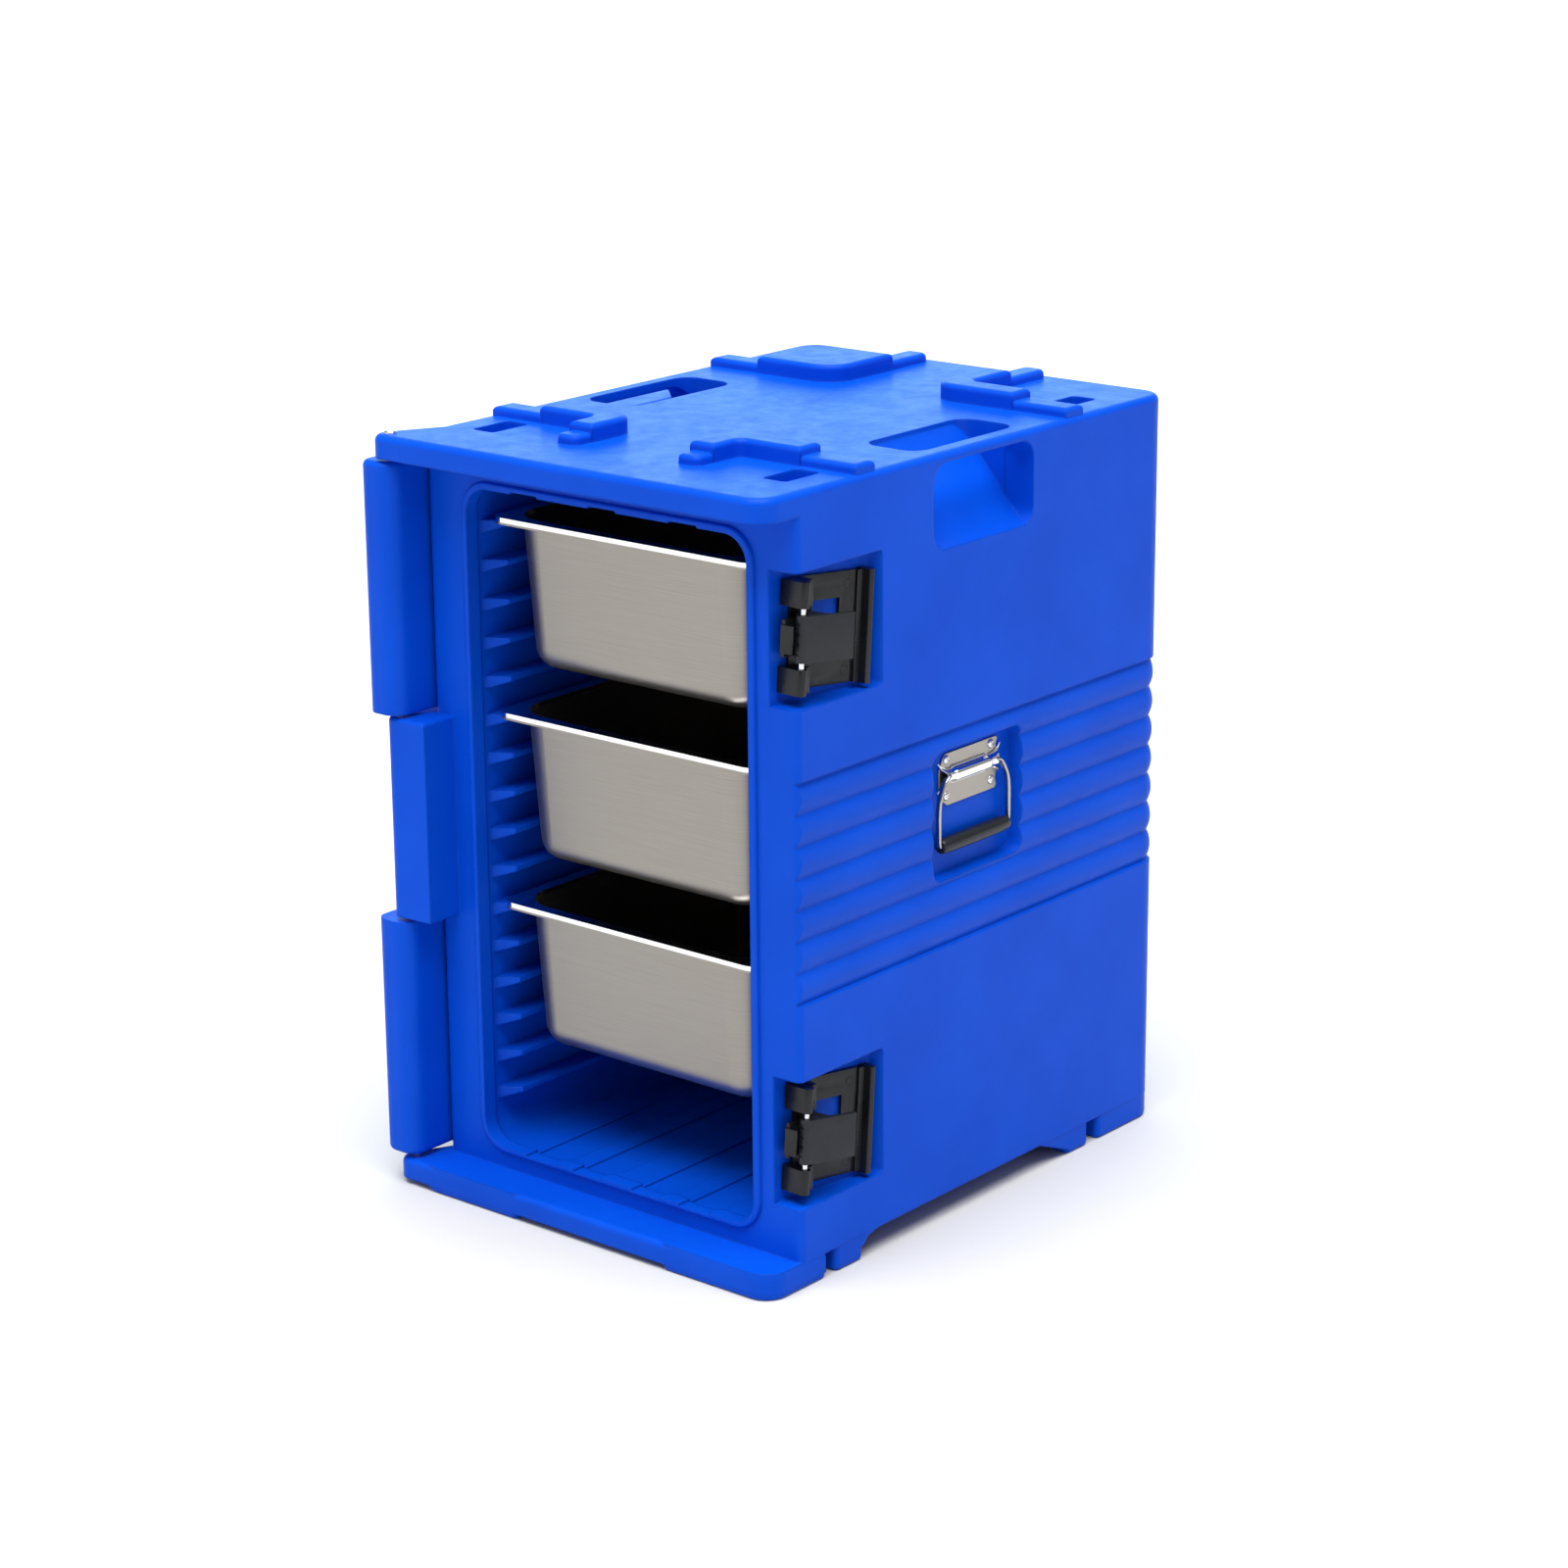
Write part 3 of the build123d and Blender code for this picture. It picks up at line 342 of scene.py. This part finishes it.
def softened(name, width):
    """A copy of a CAD node whose sharp edges are rounded."""
    mesh = NODES[name].data.copy()
    piece = bpy.data.objects.new(f"{name}_soft", mesh)
    scene.collection.objects.link(piece)
    piece.matrix_world = NODES[name].matrix_world.copy()
    work = bmesh.new()
    work.from_mesh(mesh)
    bmesh.ops.remove_doubles(work, verts=work.verts, dist=MERGE_DISTANCE)
    bmesh.ops.dissolve_limit(work, angle_limit=FLAT_ANGLE, verts=work.verts, edges=work.edges)
    work.to_mesh(mesh)
    work.free()
    mesh.polygons.foreach_set("use_smooth", [True] * len(mesh.polygons))
    apply(piece, "BEVEL", width=width, segments=3, limit_method="ANGLE",
          angle_limit=SHARP_ANGLE, harden_normals=True)
    return piece


for which in ("upper", "lower"):
    for part, edge in LATCH_EDGES:
        cad_name = f"latch_{which}_{part}"
        stand_for(softened(cad_name, edge), cad_name, material_for(cad_name))


# -------------------------------------------------------------------- handles
# Sizes are in millimetres, as Handle.at takes them, unless MM stands beside them.
PLATE_OUTLINE = (
    (-46, -20), (-43, -26), (-40, -27), (-33, -32), (42, -32), (45, -29), (43, -22), (45, -14),
    (45, 8), (43, 12), (46, 17), (44, 20), (-36, 20), (-40, 17), (-44, 9), (-46, 4))
PLATE_BACK, PLATE_FACE = 0.1, 1.7      # off the pocket floor
SPINDLE_HEIGHT = 32 * MM               # above the plate's lower edge

# Channel: half height and rise by distance from its middle, bow by share of the half height.
CHANNEL_HALF_Z = ((0, 8.6), (25, 8.6), (30, 7.0), (37, 7.6), (43, 10.5), (50, 15.0))
CHANNEL_RISE = ((0, 8.4), (25, 8.4), (30, 6.2), (38, 6.2), (50, 3.4))
CHANNEL_BOW = ((0, 1.0), (0.30, 0.98), (0.42, 0.90), (0.84, 0.14), (0.92, 0.06), (1.0, 0.05))
CHANNEL_ROWS, CHANNEL_ACROSS = 60, 32
CHANNEL_REACH, CHANNEL_FLARE = 40, 10  # half length in the middle, and what its corners add
CHANNEL_SEAT, CHANNEL_LIFT = 1.6, 0.5
CHANNEL_DROP = 2                       # its middle sits below the spindle

ARM_START = ((36, 0), (41, -1), (45, -5), (49, -12), (53, -19))      # along and up, by the spindle
ARM_SPOKES, ARM_HALF_WIDTH, ARM_HALF_THICKNESS = 16, 3.1 * MM, 1.9 * MM

GRIP_END = ((0, 4.2), (0, 5.6), (0.5, 6.3), (1.6, 6.8), (6, 7.3), (18, 7.8))   # in from the end, radius
GRIP_SPOKES, GRIP_MIDDLE = 40, 8.0     # radius at the middle, before it is fitted to the CAD grip

RIVET_RADIUS, RIVET_DOME = 4.6 * MM, 2.5 * MM
RIVET_SPOKES, RIVET_RINGS = 64, 14
CROSS_DEPTH, CROSS_HALF_WIDTH, CROSS_REACH = 0.9 * MM, 0.55 * MM, 2.1 * MM


class Handle:
    """The seen pieces of one handle, placed from its CAD nodes."""

    def __init__(self, side):
        self.side = side
        self.sign = 1 if side == "right" else -1
        low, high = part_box(f"handle_{side}_plate")
        self.floor = low.x if self.sign > 0 else high.x
        self.y = (low.y + high.y) / 2
        self.z = low.z + SPINDLE_HEIGHT
        low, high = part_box(f"handle_{side}_grip")
        self.bar = Vector(((low.x + high.x) / 2, self.y, (low.z + high.z) / 2))
        self.grip_r = (high.z - low.z) / 2
        self.half_grip = (high.y - low.y) / 2
        low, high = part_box(f"handle_{side}_bail")
        self.arm = (high.y - low.y) / 2

    def at(self, out, along, up):
        """A point in millimetres off the pocket floor, from the middle and from the spindle."""
        return (self.floor + self.sign * out * MM, self.y + along * MM, self.z + up * MM)

    def plate(self):
        rings = [[self.at(out, y, z) for y, z in PLATE_OUTLINE] for out in (PLATE_BACK, PLATE_FACE)]
        plate = loft(f"handle_{self.side}_back_plate", rings, 35)
        apply(plate, "BEVEL", width=0.5 * MM, segments=2, limit_method="ANGLE")
        return plate

    def channel(self):
        """The pressed cover of the spindle: a bevelled bar whose ends flare into points."""
        points = []
        for i in range(CHANNEL_ROWS + 1):
            u = 2 * i / CHANNEL_ROWS - 1
            for j in range(CHANNEL_ACROSS + 1):
                v = 2 * j / CHANNEL_ACROSS - 1
                y = u * (CHANNEL_REACH + CHANNEL_FLARE * abs(v) ** 2.6)
                half, rise = between(CHANNEL_HALF_Z, abs(y)), between(CHANNEL_RISE, abs(y))
                bow = between(CHANNEL_BOW, abs(v))
                points.append(self.at(CHANNEL_SEAT + rise * bow + CHANNEL_LIFT, y, v * half - CHANNEL_DROP))
        wide = CHANNEL_ACROSS + 1
        faces = [(i * wide + j, i * wide + j + 1, (i + 1) * wide + j + 1, (i + 1) * wide + j)
                 for i in range(CHANNEL_ROWS) for j in range(CHANNEL_ACROSS)]
        cover = mesh_piece(f"handle_{self.side}_channel", points, faces, 60)
        apply(cover, "SOLIDIFY", thickness=1.1 * MM, offset=0.0)
        apply(cover, "BEVEL", width=0.3 * MM, segments=2, limit_method="ANGLE",
              angle_limit=math.radians(50))
        return cover

    def arm_path(self, end):
        """Middle of one arm from the spindle, bowed out, then straight down to the bar."""
        far = self.arm / MM - 2
        drop = (self.bar.z - self.z) / MM
        spine = [*ARM_START, (far - 0.8, -25), (far, -32), (far, -44), (far, drop + 4),
                 (far - 1, drop), (far - 5, drop - 0.4)]
        lift = (self.sign * (self.bar.x - self.floor)) / MM
        return [Vector(self.at(lift, end * y, z)) for y, z in spine]

    def arms(self):
        """Flat steel bands, each a lofted strip with rounded edges."""
        step = 360 / ARM_SPOKES
        angles = [math.radians(step * n + step / 2) for n in range(ARM_SPOKES)]
        pieces = []
        for end in (-1, 1):
            path = self.arm_path(end)
            rings = []
            for k, place in enumerate(path):
                along = (path[min(k + 1, len(path) - 1)] - path[max(k - 1, 0)]).normalized()
                wide = Vector((1, 0, 0))
                thick = along.cross(wide).normalized()
                rings.append([place + wide * (ARM_HALF_WIDTH * math.cos(a))
                              + thick * (ARM_HALF_THICKNESS * math.sin(a)) for a in angles])
            arm = loft(f"arm_{end}", rings, 60)
            apply(arm, "SUBSURF", levels=1)
            pieces.append(arm)
        return joined(f"handle_{self.side}_arms", pieces)

    def grip(self):
        """A vinyl tube, a little fuller in the middle, with rolled ends."""
        ends = [(self.half_grip / MM - back, r) for back, r in GRIP_END]
        stations = [(-y, r) for y, r in ends] + [(0, GRIP_MIDDLE)] + ends[::-1]
        scale = self.grip_r / MM / GRIP_MIDDLE
        angles = [math.radians(360 / GRIP_SPOKES * n) for n in range(GRIP_SPOKES)]
        rings = [[(self.bar.x + r * scale * MM * math.cos(a), self.y + y * MM,
                   self.bar.z + r * scale * MM * math.sin(a)) for a in angles] for y, r in stations]
        return loft(f"handle_{self.side}_tube", rings, 50)

    def rivet(self, number):
        """A domed head with a small cross pressed into it."""
        low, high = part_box(f"handle_{self.side}_rivet_{number}")
        y, z = (low.y + high.y) / 2, (low.z + high.z) / 2
        turn = math.radians(20 + 35 * number)
        rings = []
        for k in range(1, RIVET_RINGS + 1):
            r = RIVET_RADIUS * k / RIVET_RINGS
            dome = RIVET_DOME * math.sqrt(max(0.0, 1 - (k / RIVET_RINGS) ** 2.4))
            ring = []
            for n in range(RIVET_SPOKES):
                a = 2 * math.pi * n / RIVET_SPOKES
                arm = min(abs(r * math.cos(a)), abs(r * math.sin(a)))
                cross = CROSS_DEPTH if arm < CROSS_HALF_WIDTH and r < CROSS_REACH else 0.0
                ring.append((self.floor + self.sign * (PLATE_FACE * MM + dome - cross),
                             y + r * math.cos(a + turn), z + r * math.sin(a + turn)))
            rings.append(ring)
        return loft(f"handle_{self.side}_rivet_head_{number}", rings, 38)

    def make(self):
        name = f"handle_{self.side}"
        stand_for(self.plate(), f"{name}_plate", SATIN)
        stand_for(self.channel(), f"{name}_plate", MIRROR)
        stand_for(self.arms(), f"{name}_bail", ARM_STEEL)
        stand_for(self.grip(), f"{name}_grip", VINYL)
        for number in range(1, 5):
            stand_for(self.rivet(number), f"{name}_rivet_{number}", STEEL)


for side_name in ("right", "left"):
    Handle(side_name).make()


# --------------------------------------------------------------------- camera
TARGET = Vector((-0.009, 0.265, 0.386))
AZIMUTH, ELEVATION, ROLL = math.radians(39.756), math.radians(16.742), math.radians(-0.498)
DISTANCE = 3.844
LENS, SENSOR_WIDTH = 89.086, 36        # millimetres
CLIP_START, CLIP_END = 0.05, 60        # metres; the floor beyond the far clip is not drawn


def add_camera():
    lens = bpy.data.cameras.new("camera")
    camera = bpy.data.objects.new("camera", lens)
    scene.collection.objects.link(camera)
    level = math.cos(ELEVATION)
    away = Vector((math.sin(AZIMUTH) * level, -math.cos(AZIMUTH) * level, math.sin(ELEVATION)))
    turn = away.to_track_quat("Z", "Y").to_matrix() @ Matrix.Rotation(ROLL, 3, "Z")
    camera.matrix_world = Matrix.Translation(TARGET + DISTANCE * away) @ turn.to_4x4()
    lens.sensor_width = SENSOR_WIDTH
    lens.lens = LENS
    lens.clip_start = CLIP_START
    lens.clip_end = CLIP_END
    scene.camera = camera


# ------------------------------------------------------------ floor and lights
FLOOR_SIZE = 240
WORLD_STRENGTH = 0.5
WORLD_STOPS = ((0.0, 2.0), (0.10, 2.0), (0.16, 0.30), (0.8, 1.0))    # height of the direction, brightness


def add_floor():
    bpy.ops.mesh.primitive_grid_add(x_subdivisions=8, y_subdivisions=8, size=FLOOR_SIZE)
    floor = bpy.context.object
    floor.name = "floor"
    dress(floor, pale_floor())


def add_area(name, place, towards, size, power, color=(1, 1, 1)):
    light = bpy.data.lights.new(name, "AREA")
    light.shape = "RECTANGLE"
    light.size, light.size_y = size
    light.energy = power
    light.color = color
    lamp = bpy.data.objects.new(name, light)
    lamp.location = place
    lamp.rotation_euler = (Vector(towards) - Vector(place)).to_track_quat("-Z", "Y").to_euler()
    scene.collection.objects.link(lamp)


def add_sun(name, tilt, spread, power):
    light = bpy.data.lights.new(name, "SUN")
    light.energy = power
    light.angle = math.radians(spread)
    lamp = bpy.data.objects.new(name, light)
    lamp.rotation_euler = [math.radians(t) for t in tilt]
    scene.collection.objects.link(lamp)


def add_world():
    """A white backdrop up to a little above the floor, darker walls, and a bright ceiling."""
    world = bpy.data.worlds.new("studio")
    scene.world = world
    world.use_nodes = True
    tree = world.node_tree
    coords = tree.nodes.new("ShaderNodeTexCoord")
    split = tree.nodes.new("ShaderNodeSeparateXYZ")
    ramp = tree.nodes.new("ShaderNodeValToRGB")
    fill_ramp(ramp, [(height, (level, level, level)) for height, level in WORLD_STOPS])
    background = tree.nodes["Background"]
    tree.links.new(coords.outputs["Generated"], split.inputs["Vector"])
    tree.links.new(split.outputs["Z"], ramp.inputs["Fac"])
    tree.links.new(ramp.outputs["Color"], background.inputs["Color"])
    background.inputs["Strength"].default_value = WORLD_STRENGTH


scene.view_settings.view_transform = "Standard"
add_camera()
add_floor()
add_world()
add_sun("overhead", (8, 6, 0), 60, 5.6)
add_area("front_fill", (-1.6, -3.2, 1.7), (0, 0.1, 0.4), (2.2, 2.2), 14)
add_area("side_fill", (3.6, -0.6, 1.3), (0, 0.3, 0.4), (2.0, 2.0), 6)
add_area("back_sheen", (-2.4, 3.4, 1.9), (0, 0.3, 0.76), (3.4, 1.6), 42, (0.42, 0.86, 1.0))
